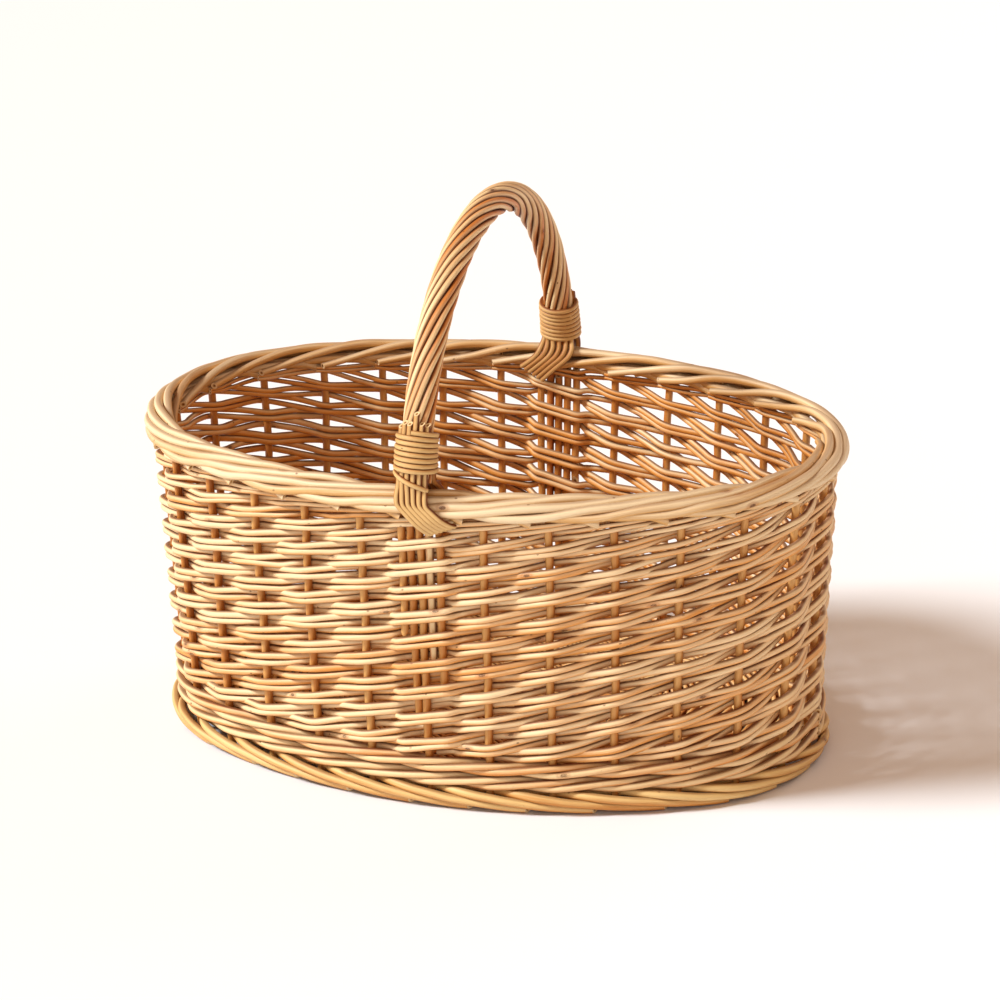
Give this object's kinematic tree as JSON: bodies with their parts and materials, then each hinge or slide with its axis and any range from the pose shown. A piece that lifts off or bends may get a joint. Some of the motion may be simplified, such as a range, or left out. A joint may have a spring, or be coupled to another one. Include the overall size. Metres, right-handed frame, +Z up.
{
  "type": "woven market basket",
  "caption": "Oval woven willow market basket with upright stakes, slewed sides, a rolled rim, a foot border and one fixed hoop handle.",
  "frame": {"origin": "middle of the footprint, on the surface the basket stands on", "axes": "+Z up, X along the long way of the oval, Y across it, in the plane of the hoop handle"},
  "size_m": [0.46, 0.3158, 0.3597],
  "materials": {
    "weave_willow": "boiled willow rods, smooth skin with a low satin sheen",
    "wale_willow": "boiled willow rods, smooth skin with a low satin sheen",
    "stake_willow": "boiled willow rods, satin",
    "border_willow": "boiled willow rods with darker knots and pale cut ends, satin",
    "base_willow": "boiled willow rods, satin",
    "handle_willow": "boiled willow rods wrapped closely, satin"
  },
  "bodies": {
    "root": {"weaver_pair_01": "weave_willow", "weaver_pair_02": "weave_willow", "weaver_pair_03": "weave_willow", "weaver_pair_04": "weave_willow", "weaver_pair_05": "weave_willow", "weaver_pair_06": "weave_willow", "weaver_pair_07": "weave_willow", "weaver_pair_08": "weave_willow", "weaver_pair_09": "weave_willow", "weaver_pair_10": "weave_willow", "weaver_pair_11": "weave_willow", "weaver_pair_12": "weave_willow", "weaver_pair_13": "weave_willow", "weaver_pair_14": "weave_willow", "weaver_pair_15": "weave_willow", "weaver_pair_16": "weave_willow", "weaver_pair_17": "weave_willow", "weaver_pair_18": "weave_willow", "weaver_pair_19": "weave_willow", "weaver_pair_20": "weave_willow", "weaver_pair_21": "weave_willow", "weaver_pair_22": "weave_willow", "weaver_pair_23": "weave_willow", "weaver_pair_24": "weave_willow", "weaver_pair_25": "weave_willow", "weaver_pair_26": "weave_willow", "weaver_pair_27": "weave_willow", "weaver_pair_28": "weave_willow", "wale_lower_rod_1": "wale_willow", "wale_lower_rod_2": "wale_willow", "wale_lower_rod_3": "wale_willow", "wale_upper_rod_1": "wale_willow", "wale_upper_rod_2": "wale_willow", "wale_upper_rod_3": "wale_willow", "stakes_right": "stake_willow", "stakes_back": "stake_willow", "stakes_left": "stake_willow", "stakes_front": "stake_willow", "rim_border": "border_willow", "foot_border": "border_willow", "base_weave": "base_willow", "base_long_sticks": "base_willow", "base_cross_sticks": "base_willow", "handle_bow": "handle_willow", "handle_roping_front": "handle_willow", "handle_roping_back": "handle_willow", "handle_binding_front": "handle_willow", "handle_binding_back": "handle_willow", "handle_lashing_front": "handle_willow", "handle_lashing_back": "handle_willow", "handle_liners_front": "stake_willow", "handle_liners_back": "stake_willow"}
  },
  "joints": []
}
